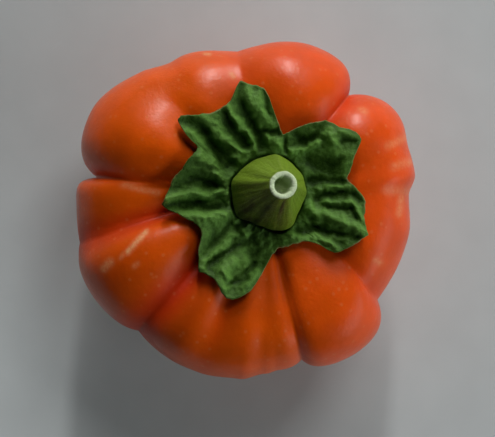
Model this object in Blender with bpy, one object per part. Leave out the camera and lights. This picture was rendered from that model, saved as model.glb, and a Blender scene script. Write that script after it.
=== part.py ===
# Squat ribbed chilli pepper standing on its blossom end, stem upward.
# Z is up through the crown and -Y is the side nearest the viewer's feet.
# Three pieces: the fruit, the star-shaped calyx on its crown and the cut stem.

import math

import bpy
import bmesh
import numpy as np

MM = 0.001

# Crown, where the calyx and the stem sit, off the middle of the body
CROWN_X = 2.9
CROWN_Y = 2.3

# Fruit body, in millimetres
BELLY_Z = 20.5
SHOULDER_RISE = 14.2
FOOT_DROP = 22.6
SHOULDER_POWER = 2.8
FOOT_POWER = 2.0
CROWN_BASIN = 5.2
CROWN_BASIN_SHARE = 0.55
CROWN_BASIN_POWER = 3

# Where the crown hollow is wider or narrower: direction, spread in degrees and
# share of the reach added
CROWN_BASIN_TURNS = (
    (290.0, 28.0, 0.10),
    (148.0, 20.0, -0.08),
)
BLOSSOM_BASIN = 3.0
BLOSSOM_BASIN_RADIUS = 6.0
BLOSSOM_SHIFT_X = -2.6
BLOSSOM_SHIFT_Y = -2.0
FRUIT_SEGMENTS = 104
FRUIT_RINGS = 34

# Lobes round the crown: direction in degrees, reach, height above or below
# the shoulder, in millimetres
LOBES = (
    (8.0, 22.45, -0.8),
    (29.0, 23.15, -0.2),
    (74.0, 23.2, 0.2),
    (124.0, 24.2, -0.1),
    (156.0, 28.6, 1.0),
    (180.5, 28.1, -1.4),
    (206.0, 29.7, 0.4),
    (241.0, 28.3, -0.3),
    (262.0, 27.65, -0.2),
    (274.5, 26.1, -0.3),
    (296.5, 27.1, 0.9),
    (343.0, 22.25, -0.6),
)

# Grooves, each after the lobe of the same place in the list: direction at
# the calyx and at the side in degrees, reach at the side, drop below the
# shoulder at the calyx and at the side, fullness of the outline before and
# after it, fullness of the shoulder before and after it, softness at the
# calyx and at the side from 0 to 1
GROOVES = (
    (14.5, 17.0, 22.35, 2.0, 0.3, 2.6, 3.2, 2.2, 2.2, 0.4, 1.0),
    (50.0, 50.0, 19.3, 2.5, 2.4, 2.4, 4.8, 2.2, 2.6, 0.1, 0.1),
    (103.0, 101.0, 21.6, 2.0, 1.1, 2.2, 2.2, 2.2, 1.5, 0.6, 0.6),
    (137.0, 134.0, 25.8, 1.8, 0.6, 2.6, 2.1, 2.0, 1.8, 0.4, 0.4),
    (175.0, 174.0, 25.2, 1.8, 1.9, 4.0, 4.8, 2.0, 2.0, 0.0, 0.1),
    (190.5, 194.5, 28.4, 3.7, 2.8, 1.6, 3.6, 1.3, 3.6, 0.0, 0.4),
    (227.0, 227.0, 27.6, 4.2, 2.8, 4.4, 3.2, 2.3, 1.6, 0.0, 0.3),
    (250.0, 250.0, 28.2, 2.0, 1.2, 2.0, 2.0, 2.0, 2.0, 0.5, 0.8),
    (269.0, 270.0, 26.6, 0.3, 0.7, 2.0, 2.0, 2.0, 2.0, 0.9, 0.9),
    (281.0, 282.5, 25.1, 0.9, 1.2, 3.0, 5.0, 2.2, 1.7, 0.1, 0.1),
    (325.0, 317.0, 22.8, 1.8, 1.5, 5.0, 2.2, 2.0, 2.0, 0.0, 0.2),
    (361.0, 360.0, 21.4, 1.1, 0.9, 2.0, 2.0, 2.0, 2.0, 0.8, 0.9),
)

# Turn in degrees over which the bottom of a groove is rounded
GROOVE_ROUNDING = 2.2

# Calyx, in millimetres
CALYX_GAP = 0.4
CALYX_THICK = 0.8
CALYX_SHARE = 1.02
CALYX_SEGMENTS = 96
CALYX_RINGS = 24
SEAT_RADIUS = 6.0
SEAT_RIM = 6.5

# Calyx edge: direction in degrees and reach in millimetres
CALYX_EDGE = (
    (0.0, 13.4),
    (7.0, 12.3),
    (12.5, 11.6),
    (24.0, 13.9),
    (31.0, 15.4),
    (37.0, 15.0),
    (44.0, 13.6),
    (51.0, 13.3),
    (58.0, 11.8),
    (65.0, 10.0),
    (74.8, 8.5),
    (81.0, 9.6),
    (87.0, 12.0),
    (91.0, 14.3),
    (98.0, 15.3),
    (103.6, 16.2),
    (110.0, 14.6),
    (116.0, 13.6),
    (126.5, 14.1),
    (133.5, 15.3),
    (138.0, 16.2),
    (142.0, 14.7),
    (144.6, 11.8),
    (155.0, 11.6),
    (167.0, 12.2),
    (177.0, 13.3),
    (185.0, 14.5),
    (190.0, 12.4),
    (198.0, 11.1),
    (204.5, 10.5),
    (217.0, 11.6),
    (225.0, 13.3),
    (231.0, 14.4),
    (238.0, 14.2),
    (245.0, 15.1),
    (250.0, 15.5),
    (255.0, 14.9),
    (259.0, 13.8),
    (262.0, 12.2),
    (268.0, 10.5),
    (275.0, 8.6),
    (284.0, 7.7),
    (299.0, 7.7),
    (311.0, 8.6),
    (317.0, 10.1),
    (320.0, 12.8),
    (327.0, 13.5),
    (338.4, 15.2),
    (346.0, 14.2),
    (355.0, 13.8),
)

WRINKLE_SHARE = 1.25

# Wrinkles of the calyx from the crown, in millimetres: start x and y,
# end x and y, height above the leaf (below it where negative), half width
WRINKLES = (
    (-5.2, 12.4, -1.2, 6.4, 1.0, 1.0),
    (-3.0, 13.4, -1.8, 10.2, -0.6, 0.8),
    (-1.8, 10.2, -0.6, 6.6, -0.6, 0.8),
    (-11.4, 10.4, -8.0, 6.4, -0.5, 0.8),
    (-8.0, 6.4, -5.8, 4.2, -0.5, 0.8),
    (-8.6, 9.0, -4.6, 5.6, 0.7, 1.1),
    (-13.6, -0.6, -10.2, 0.8, 0.9, 0.9),
    (-10.2, 0.8, -6.0, 1.2, 0.9, 0.9),
    (-13.0, -1.4, -6.0, -1.4, -0.6, 0.8),
    (-11.0, -2.2, -6.0, -3.4, 0.7, 0.9),
    (-7.4, -7.4, -3.6, -4.6, 0.9, 1.0),
    (-7.8, -9.2, -3.0, -6.2, -0.6, 0.9),
    (-4.0, -11.6, -3.4, -7.6, 0.9, 1.4),
    (4.0, 8.0, 6.6, 9.0, -0.5, 0.8),
    (6.4, 7.0, 9.6, 8.0, 0.8, 1.5),
    (6.0, 2.0, 11.0, 2.0, -0.6, 0.8),
    (5.6, -1.2, 11.0, -0.4, 0.7, 0.9),
    (5.6, -2.8, 12.8, -5.2, 0.9, 1.1),
    (5.4, -4.4, 12.8, -6.4, -0.5, 0.8),
    (3.0, -5.6, 9.4, -7.6, 0.6, 1.0),
)

# Stem, in millimetres
STEM_BASE_X = 0.35
STEM_BASE_Y = 0.2
STEM_BASE_RADIUS = 5.55
STEM_TOP_RADIUS = 2.15
STEM_HEIGHT = 9.4
STEM_LEAN_X = 2.1
STEM_LEAN_Y = 1.2
STEM_RIBS = 5
STEM_RIB_DEPTH = 0.35
HOLLOW_RADIUS = 1.35
HOLLOW_DEPTH = 2.2
STEM_SEGMENTS = 32
STEM_RINGS = 22
STEM_CLEARANCE = 0.35


def clear_scene():
    """Take away whatever the scene holds."""
    for thing in list(bpy.data.objects):
        bpy.data.objects.remove(thing, do_unlink=True)


def make_collection(name):
    """A collection linked to the scene."""
    group = bpy.data.collections.new(name)
    bpy.context.scene.collection.children.link(group)
    return group


def skin_material():
    """Glossy orange skin."""
    mat = bpy.data.materials.new("orange_skin")
    mat.use_nodes = True
    shader = mat.node_tree.nodes["Principled BSDF"]
    shader.inputs["Base Color"].default_value = (0.60, 0.105, 0.010, 1.0)
    shader.inputs["Roughness"].default_value = 0.38
    shader.inputs["Metallic"].default_value = 0.0
    return mat


def calyx_material():
    """Leathery dark green leaf."""
    mat = bpy.data.materials.new("calyx_green")
    mat.use_nodes = True
    shader = mat.node_tree.nodes["Principled BSDF"]
    shader.inputs["Base Color"].default_value = (0.075, 0.150, 0.030, 1.0)
    shader.inputs["Roughness"].default_value = 0.55
    shader.inputs["Metallic"].default_value = 0.0
    return mat


def stem_material():
    """Yellow green stem."""
    mat = bpy.data.materials.new("stem_green")
    mat.use_nodes = True
    shader = mat.node_tree.nodes["Principled BSDF"]
    shader.inputs["Base Color"].default_value = (0.150, 0.235, 0.040, 1.0)
    shader.inputs["Roughness"].default_value = 0.50
    shader.inputs["Metallic"].default_value = 0.0
    return mat


def turn_apart(angle, other):
    """Signed turn in degrees from one direction to another."""
    return (angle - other + 180.0) % 360.0 - 180.0


def lobe_place(angle, out):
    """Lobe reach and shoulder height, with the grooves rounded."""
    reach, height = crisp_lobe(angle, out)
    _, left = crisp_lobe(angle - GROOVE_ROUNDING, out)
    _, right = crisp_lobe(angle + GROOVE_ROUNDING, out)
    return reach, 0.5 * height + 0.25 * (left + right)


def crisp_lobe(angle, out):
    """Lobe reach and shoulder height in one direction.

    out runs from 0 at the calyx to 1 at the side, because some grooves
    swing a little on their way out.
    """
    angle = angle % 360.0
    count = len(LOBES)
    for place in range(count):
        crest, reach, height = LOBES[place]
        before = GROOVES[place - 1]
        after = GROOVES[place]
        low = before[0] + (before[1] - before[0]) * out
        high = after[0] + (after[1] - after[0]) * out
        turn = turn_apart(angle, crest)
        low_turn = turn_apart(low, crest)
        high_turn = turn_apart(high, crest)
        if turn < low_turn or turn > high_turn:
            continue
        if turn < 0.0:
            share = turn / low_turn
            groove = before
            outline = before[6]
            shoulder = before[8]
        else:
            share = turn / high_turn
            groove = after
            outline = after[5]
            shoulder = after[7]
        drop = groove[3] + (groove[4] - groove[3]) * out
        softness = groove[9] + (groove[10] - groove[9]) * out
        soft = math.sin(0.5 * math.pi * share) ** 2
        crisp = share ** outline
        fall = crisp + (soft - crisp) * softness
        out_reach = reach + (groove[2] - reach) * fall
        crisp = share ** shoulder
        fall = crisp + (soft - crisp) * softness
        out_height = height + (-drop - height) * fall
        return out_reach, out_height
    raise ValueError("no lobe at %.2f degrees" % angle)


def column_direction(angle, out):
    """Spread the columns of points so that one runs along every groove."""
    step = 360.0 / FRUIT_SEGMENTS
    columns = []
    lines = []
    for groove in GROOVES:
        middle = 0.5 * (groove[0] + groove[1])
        columns.append(round(middle / step) * step)
        lines.append(groove[0] + (groove[1] - groove[0]) * out)
    columns = [columns[-1] - 360.0] + columns + [columns[0] + 360.0]
    lines = [lines[-1] - 360.0] + lines + [lines[0] + 360.0]
    return float(np.interp(angle % 360.0, columns, lines))


def basin_depth(radius, reach, angle):
    """Depth of the crown hollow, wider on one side and narrower on another."""
    share = CROWN_BASIN_SHARE
    for direction, spread, wider in CROWN_BASIN_TURNS:
        share = share + wider * math.exp(-(turn_apart(angle, direction) / spread) ** 2)
    return CROWN_BASIN * math.exp(-(radius / (share * reach)) ** CROWN_BASIN_POWER)


def shoulder_height(radius, angle, groove_share):
    """Height of the upper skin at a distance from the crown."""
    out = min(1.0, max(0.0, (radius - 8.0) / 14.0))
    reach, height = lobe_place(angle, out)
    near = math.exp(-(radius / 7.0) ** 3)
    height = height * (1.0 - near)
    if height < 0.0:
        height = height * groove_share
    level = min(0.999, radius / reach)
    rise = (SHOULDER_RISE + height) * (1.0 - level ** SHOULDER_POWER) ** (1.0 / SHOULDER_POWER)
    basin = basin_depth(radius, reach, angle)
    return BELLY_Z + rise - basin


def skin_unevenness(angle, tilt):
    """Slow dents and swells of the skin, in millimetres."""
    turn = math.radians(angle)
    value = 0.22 * math.sin(3.0 * turn + 2.2 * tilt + 0.6)
    value = value + 0.16 * math.sin(5.0 * turn - 3.1 * tilt + 2.1)
    value = value + 0.10 * math.sin(9.0 * turn + 4.3 * tilt + 4.0)
    return value * math.sin(2.0 * tilt) ** 2


def make_fruit(group):
    """Ribbed body: a sphere pushed out to the lobes and in at the grooves."""
    bpy.ops.mesh.primitive_uv_sphere_add(
        segments=FRUIT_SEGMENTS,
        ring_count=FRUIT_RINGS,
        radius=1.0,
    )
    fruit = bpy.context.active_object
    for vert in fruit.data.vertices:
        x, y, z = vert.co
        tilt = math.asin(max(-1.0, min(1.0, z)))
        flat = math.hypot(x, y)
        if flat < 1e-5:
            angle = 0.0
            flat = 0.0
        else:
            angle = math.degrees(math.atan2(y, x))
        if tilt >= 0.0:
            power = SHOULDER_POWER
        else:
            power = FOOT_POWER
        cosine = flat ** (2.0 / power)
        sine = abs(math.sin(tilt)) ** (2.0 / power)
        out = 1.0
        if tilt > 0.0:
            out = min(1.0, max(0.0, (cosine * 25.0 - 8.0) / 14.0))
        angle = column_direction(angle, out)
        reach, height = lobe_place(angle, out)
        if tilt < 0.0:
            ease = sine ** 2
            reach = reach + (24.5 - reach) * 0.7 * ease
            height = height * (1.0 - 0.4 * ease)
        radius = reach * cosine
        turn = math.radians(angle)
        swell = skin_unevenness(angle, tilt)
        near = math.exp(-(radius / 7.0) ** 3)
        height = height * (1.0 - near)
        if tilt >= 0.0:
            basin = basin_depth(radius, reach, angle)
            level = BELLY_Z + (SHOULDER_RISE + height) * sine - basin
            shift = 0.0
        else:
            dimple = BLOSSOM_BASIN * math.exp(-(radius / BLOSSOM_BASIN_RADIUS) ** 2)
            level = BELLY_Z - (FOOT_DROP + 0.45 * height) * sine + dimple
            shift = sine ** 2
        radius = radius + swell * cosine
        level = max(0.0, level)
        vert.co.x = (CROWN_X + shift * BLOSSOM_SHIFT_X + radius * math.cos(turn)) * MM
        vert.co.y = (CROWN_Y + shift * BLOSSOM_SHIFT_Y + radius * math.sin(turn)) * MM
        vert.co.z = level * MM
    return place_piece(fruit, "fruit", skin_material(), group)


def calyx_reach(angle):
    """Distance of the calyx edge from the crown in one direction."""
    angles = [point[0] for point in CALYX_EDGE]
    reaches = [point[1] for point in CALYX_EDGE]
    return CALYX_SHARE * float(np.interp(angle % 360.0, angles, reaches, period=360.0))


def wrinkle_height(x, y):
    """Raised folds and sunk lines of the calyx at one place."""
    total = 0.0
    for x0, y0, x1, y1, height, half_width in WRINKLES:
        run_x = x1 - x0
        run_y = y1 - y0
        along = ((x - x0) * run_x + (y - y0) * run_y) / (run_x ** 2 + run_y ** 2)
        along = max(0.0, min(1.0, along))
        gap = math.hypot(x - x0 - along * run_x, y - y0 - along * run_y)
        total = total + height * math.exp(-(gap / half_width) ** 2)
    return WRINKLE_SHARE * total


def calyx_ring(ring, edge, angle):
    """Distance from the crown of one ring of points, 0 at the edge."""
    turn = math.radians(angle)
    offset = STEM_BASE_X * math.cos(turn) + STEM_BASE_Y * math.sin(turn)
    middle = CALYX_RINGS // 2
    if ring == 0:
        return edge
    if ring == middle:
        return 0.0
    if ring == middle - 1:
        return 0.5 * SEAT_RADIUS
    if ring == middle - 2:
        return SEAT_RADIUS + offset
    share = (ring - 1.0) / (middle - 4.0)
    outer = edge - 0.15
    inner = SEAT_RIM + offset
    return outer + (inner - outer) * share


def make_calyx(group):
    """Six-lobed leathery star that follows the shoulder of the fruit."""
    bpy.ops.mesh.primitive_uv_sphere_add(
        segments=CALYX_SEGMENTS,
        ring_count=CALYX_RINGS,
        radius=1.0,
    )
    calyx = bpy.context.active_object
    seat_x = STEM_BASE_X
    seat_y = STEM_BASE_Y
    step = math.pi / CALYX_RINGS
    for vert in calyx.data.vertices:
        x, y, z = vert.co
        tilt = math.asin(max(-1.0, min(1.0, z)))
        flat = math.hypot(x, y)
        angle = 0.0
        if flat > 1e-5:
            angle = math.degrees(math.atan2(y, x))
        ring = round(abs(tilt) / step)
        edge = calyx_reach(angle)
        radius = calyx_ring(ring, edge, angle)
        turn = math.radians(angle)
        px = radius * math.cos(turn)
        py = radius * math.sin(turn)
        under = shoulder_height(radius, angle, 0.45) + CALYX_GAP
        lift = 0.7 * (radius / edge) ** 6
        under = under + lift
        folds = max(-0.1, wrinkle_height(px, py) + 0.25)
        fade = 1.0 - (radius / edge) ** 8
        top = under + CALYX_THICK + folds * fade
        seat = math.hypot(px - seat_x, py - seat_y)
        wall = min(1.0, max(0.0, (seat - SEAT_RADIUS) / (SEAT_RIM - SEAT_RADIUS)))
        floor = shoulder_height(0.0, 0.0, 0.45) + CALYX_GAP + CALYX_THICK
        top = floor + (max(top + 0.45 * math.exp(-((seat - SEAT_RIM) / 1.2) ** 2), floor) - floor) * wall
        if ring == 0:
            level = under + 0.5 * CALYX_THICK
        elif tilt > 0.0:
            level = top
        else:
            level = under
        vert.co.x = (CROWN_X + px) * MM
        vert.co.y = (CROWN_Y + py) * MM
        vert.co.z = level * MM
    return place_piece(calyx, "calyx", calyx_material(), group)


def make_stem(group):
    """Short cut stem: a ribbed leaning cone with a hollow in its cut end."""
    bpy.ops.mesh.primitive_uv_sphere_add(
        segments=STEM_SEGMENTS,
        ring_count=STEM_RINGS,
        radius=1.0,
    )
    stem = bpy.context.active_object
    foot = shoulder_height(0.0, 0.0, 0.45) + CALYX_GAP + CALYX_THICK + STEM_CLEARANCE
    for vert in stem.data.vertices:
        x, y, z = vert.co
        tilt = math.asin(max(-1.0, min(1.0, z)))
        flat = math.hypot(x, y)
        turn = 0.0
        if flat > 1e-5:
            turn = math.atan2(y, x)
        place = 0.5 + tilt / math.pi
        radius, climb = stem_profile(place)
        rib = STEM_RIB_DEPTH * math.cos(STEM_RIBS * turn + 0.5) * (radius / STEM_BASE_RADIUS)
        if place > 0.80:
            rib = 0.0
        radius = max(0.0, radius + rib)
        share = climb / STEM_HEIGHT
        lean = share ** 1.3
        level = foot + climb
        vert.co.x = (CROWN_X + STEM_BASE_X + STEM_LEAN_X * lean + radius * math.cos(turn)) * MM
        vert.co.y = (CROWN_Y + STEM_BASE_Y + STEM_LEAN_Y * lean + radius * math.sin(turn)) * MM
        vert.co.z = level * MM
    return place_piece(stem, "stem", stem_material(), group)


def stem_profile(place):
    """Radius and height along the stem's outline, foot to hollow."""
    places = (0.0, 0.12, 0.17, 0.25, 0.45, 0.65, 0.76, 0.79, 0.83, 0.87, 0.93, 1.0)
    radii = (
        0.0,
        STEM_BASE_RADIUS - 0.9,
        STEM_BASE_RADIUS - 0.35,
        STEM_BASE_RADIUS - 0.15,
        0.5 * (STEM_BASE_RADIUS + STEM_TOP_RADIUS) - 0.1,
        STEM_TOP_RADIUS + 0.55,
        STEM_TOP_RADIUS,
        STEM_TOP_RADIUS - 0.15,
        HOLLOW_RADIUS + 0.1,
        HOLLOW_RADIUS,
        HOLLOW_RADIUS - 0.25,
        0.0,
    )
    climbs = (
        0.0,
        0.0,
        0.5,
        1.4,
        4.6,
        7.2,
        STEM_HEIGHT - 0.25,
        STEM_HEIGHT,
        STEM_HEIGHT - 0.05,
        STEM_HEIGHT - 0.5,
        STEM_HEIGHT - HOLLOW_DEPTH + 0.2,
        STEM_HEIGHT - HOLLOW_DEPTH,
    )
    radius = float(np.interp(place, places, radii))
    climb = float(np.interp(place, places, climbs))
    return radius, climb


def place_piece(piece, name, mat, group):
    """Name a piece, give it its material and put it in the collection."""
    piece.name = name
    piece.data.name = name
    piece.data.materials.append(mat)
    work = bmesh.new()
    work.from_mesh(piece.data)
    bmesh.ops.recalc_face_normals(work, faces=work.faces)
    work.to_mesh(piece.data)
    work.free()
    piece.data.shade_smooth()
    for holder in list(piece.users_collection):
        holder.objects.unlink(piece)
    group.objects.link(piece)
    return piece


def main():
    clear_scene()
    group = make_collection("chilli_pepper")
    make_fruit(group)
    make_calyx(group)
    make_stem(group)


main()
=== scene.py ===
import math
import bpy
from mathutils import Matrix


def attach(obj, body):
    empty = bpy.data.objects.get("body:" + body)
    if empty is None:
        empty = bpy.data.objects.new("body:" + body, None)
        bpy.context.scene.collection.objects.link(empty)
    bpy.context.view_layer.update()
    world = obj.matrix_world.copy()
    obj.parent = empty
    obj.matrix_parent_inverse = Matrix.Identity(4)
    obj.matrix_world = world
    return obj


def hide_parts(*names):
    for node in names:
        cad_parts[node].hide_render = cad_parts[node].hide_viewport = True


bl_info = {
    "name": "Squat Ribbed Chilli",
    "version": (1, 0, 0),
    "blender": (4, 5, 0),
    "location": "3D View > Sidebar > Chilli",
    "description": "Grows a squat ribbed chilli with its calyx and cut stem",
    "category": "Add Mesh",
}

from collections import namedtuple

import bpy
import numpy as np
from mathutils import Vector, noise

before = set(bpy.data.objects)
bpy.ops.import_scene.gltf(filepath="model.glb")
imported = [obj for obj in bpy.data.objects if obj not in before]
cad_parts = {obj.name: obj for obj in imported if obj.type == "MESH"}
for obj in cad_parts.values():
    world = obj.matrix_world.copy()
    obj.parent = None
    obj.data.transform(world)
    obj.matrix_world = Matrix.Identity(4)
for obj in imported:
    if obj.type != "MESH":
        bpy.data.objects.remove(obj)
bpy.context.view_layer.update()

MM = 0.001

# Lobes of the fruit round the crown: direction in degrees, reach and height
# above or below the shoulder in millimetres
LOBES = (
    (8.0, 22.45, -0.8),
    (29.0, 23.15, -0.2),
    (74.0, 23.2, 0.2),
    (124.0, 24.2, -0.1),
    (156.0, 28.6, 1.0),
    (180.5, 28.1, -1.4),
    (206.0, 29.7, 0.4),
    (241.0, 28.3, -0.3),
    (262.0, 27.65, -0.2),
    (274.5, 26.1, -0.3),
    (297.0, 27.1, 0.6),
    (343.0, 22.25, -0.6),
)

Groove = namedtuple(
    "Groove",
    "inner outer reach inner_drop outer_drop outline_before outline_after"
    " shoulder_before shoulder_after inner_softness outer_softness",
)

# Grooves, each after the lobe of the same place: direction at the calyx and
# at the side in degrees, reach at the side, drop at the calyx and at the side
# in millimetres, fullness of the outline before and after, fullness of the
# shoulder before and after, softness at the calyx and at the side
GROOVES = (
    Groove(14.5, 17.0, 22.35, 2.0, 0.3, 2.6, 3.2, 2.2, 2.2, 0.4, 1.0),
    Groove(50.0, 50.0, 19.3, 2.5, 2.4, 2.4, 4.8, 2.2, 2.6, 0.1, 0.1),
    Groove(103.0, 101.0, 21.6, 2.0, 1.1, 2.2, 2.2, 2.2, 1.5, 0.6, 0.6),
    Groove(137.0, 134.0, 25.8, 1.8, 0.6, 2.6, 2.1, 2.0, 1.8, 0.4, 0.4),
    Groove(175.0, 174.0, 25.2, 1.8, 1.9, 4.0, 4.8, 2.0, 2.0, 0.0, 0.1),
    Groove(190.5, 194.5, 28.4, 3.7, 2.8, 1.6, 3.6, 1.3, 3.6, 0.0, 0.4),
    Groove(227.0, 227.0, 27.6, 4.2, 2.8, 4.4, 3.2, 2.3, 1.6, 0.0, 0.3),
    Groove(250.0, 250.0, 28.2, 2.0, 1.2, 2.0, 2.0, 2.0, 2.0, 0.5, 0.8),
    Groove(269.0, 270.0, 26.6, 0.3, 0.7, 2.0, 2.0, 2.0, 2.0, 0.9, 0.9),
    Groove(280.5, 282.5, 25.1, 1.2, 1.0, 3.0, 5.0, 3.6, 4.5, 0.0, 0.1),
    Groove(325.0, 317.0, 22.8, 1.8, 1.5, 5.0, 2.2, 2.0, 2.0, 0.0, 0.2),
    Groove(361.0, 360.0, 21.4, 1.1, 0.9, 2.0, 2.0, 2.0, 2.0, 0.8, 0.9),
)

# Degrees to each side over which the bottom of a groove is rounded
GROOVE_ROUNDING = 2.2

# Distances from the crown, in millimetres, between which a groove runs from
# its direction at the calyx to its direction at the side
RUN_START = 8.0
RUN_LENGTH = 14.0
MEAN_REACH = 25.0

# Drop that counts as a full groove, and the share of it under the leaf
FULL_DROP = 3.5
DROP_UNDER_LEAF = 0.45

# Distance from the crown, in millimetres, within which the lobes die out
CROWN_EASE = 7.0

# Turns on which the crown hollow is wider or narrower: direction and half
# width in degrees, change as a share of the reach
BASIN_TURNS = ((290.0, 28.0, 0.10), (148.0, 20.0, -0.08))
BASIN_POWER = 3

# Under the belly: reach that the lobes draw in to and how far they do, how
# much flatter they get, their share of height, and the way the foot is shifted
FOOT_REACH = 24.5
FOOT_ROUNDING = 0.7
FOOT_FLATTENING = 0.4
FOOT_LOBES = 0.45
FOOT_SHIFT_X = 2.6
FOOT_SHIFT_Y = 2.0

# Dimple of the blossom end in millimetres
DIMPLE_HEIGHT = 3.0
DIMPLE_RADIUS = 6.0

# Slow swells of the skin: height in millimetres, waves round, waves upward, start
SWELLS = ((0.22, 3.0, 2.2, 0.6), (0.16, 5.0, -3.1, 2.1), (0.10, 9.0, 4.3, 4.0))

# Dents of the skin: size in millimetres, seed, height in millimetres
DENTS = ((9.0, 3.0, 0.16), (4.2, 5.0, 0.07))

# Edge of the calyx, anticlockwise, x and y from the crown in millimetres
CALYX_EDGE = (
    (11.7, 2.4), (12.1, 3.3), (12.6, 4.9), (13.2, 6.5), (13.7, 7.9), (13.2, 8.9),
    (11.9, 9.3), (10.5, 9.6), (9.7, 10.1), (8.7, 10.7), (7.4, 10.4), (5.6, 10.0),
    (4.2, 9.4), (3.2, 8.9), (2.5, 8.6), (2.1, 9.3), (1.7, 10.4), (1.3, 11.6),
    (0.9, 12.8), (0.5, 14.0), (-0.1, 15.0), (-1.2, 15.5), (-2.6, 15.9), (-3.6, 16.4),
    (-4.1, 15.7), (-4.5, 14.6), (-5.0, 13.5), (-5.7, 12.8), (-6.8, 12.1), (-8.0, 11.5),
    (-9.5, 11.3), (-11.0, 11.3), (-12.1, 11.2), (-12.6, 10.6), (-12.3, 9.9),
    (-11.8, 9.1), (-11.3, 8.3), (-10.4, 7.5), (-9.8, 6.9), (-10.1, 6.2), (-10.6, 5.5),
    (-11.3, 4.6), (-12.0, 3.6), (-12.8, 2.8), (-13.4, 1.8), (-13.9, 0.7), (-14.5, -0.5),
    (-15.0, -1.5), (-14.0, -2.2), (-12.9, -2.7), (-12.2, -3.2), (-11.5, -3.6),
    (-10.5, -4.0), (-9.8, -4.5), (-9.4, -5.1), (-9.3, -6.0), (-9.5, -7.0), (-9.7, -8.1),
    (-9.6, -9.3), (-9.7, -10.3), (-9.6, -11.2), (-8.6, -11.6), (-7.8, -12.0),
    (-7.1, -12.6), (-6.7, -13.3), (-6.3, -14.1), (-5.7, -14.8), (-4.9, -15.1),
    (-3.9, -14.9), (-3.0, -14.5), (-2.1, -13.9), (-1.4, -12.9), (-0.8, -11.9),
    (-0.2, -10.9), (0.2, -10.1), (0.6, -9.4), (1.0, -8.7), (1.6, -8.0), (2.6, -7.5),
    (3.8, -7.3), (5.0, -6.9), (6.1, -6.8), (7.3, -7.1), (8.2, -7.5), (9.0, -8.1),
    (9.9, -8.5), (10.8, -8.3), (12.0, -7.7), (13.1, -7.0), (13.8, -6.5), (14.8, -5.9),
    (14.4, -5.0), (14.2, -4.0), (14.1, -3.0), (14.3, -2.0), (14.2, -1.0), (13.9, -0.2),
    (13.3, 0.5), (12.6, 1.3), (12.0, 1.9),
)

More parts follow.
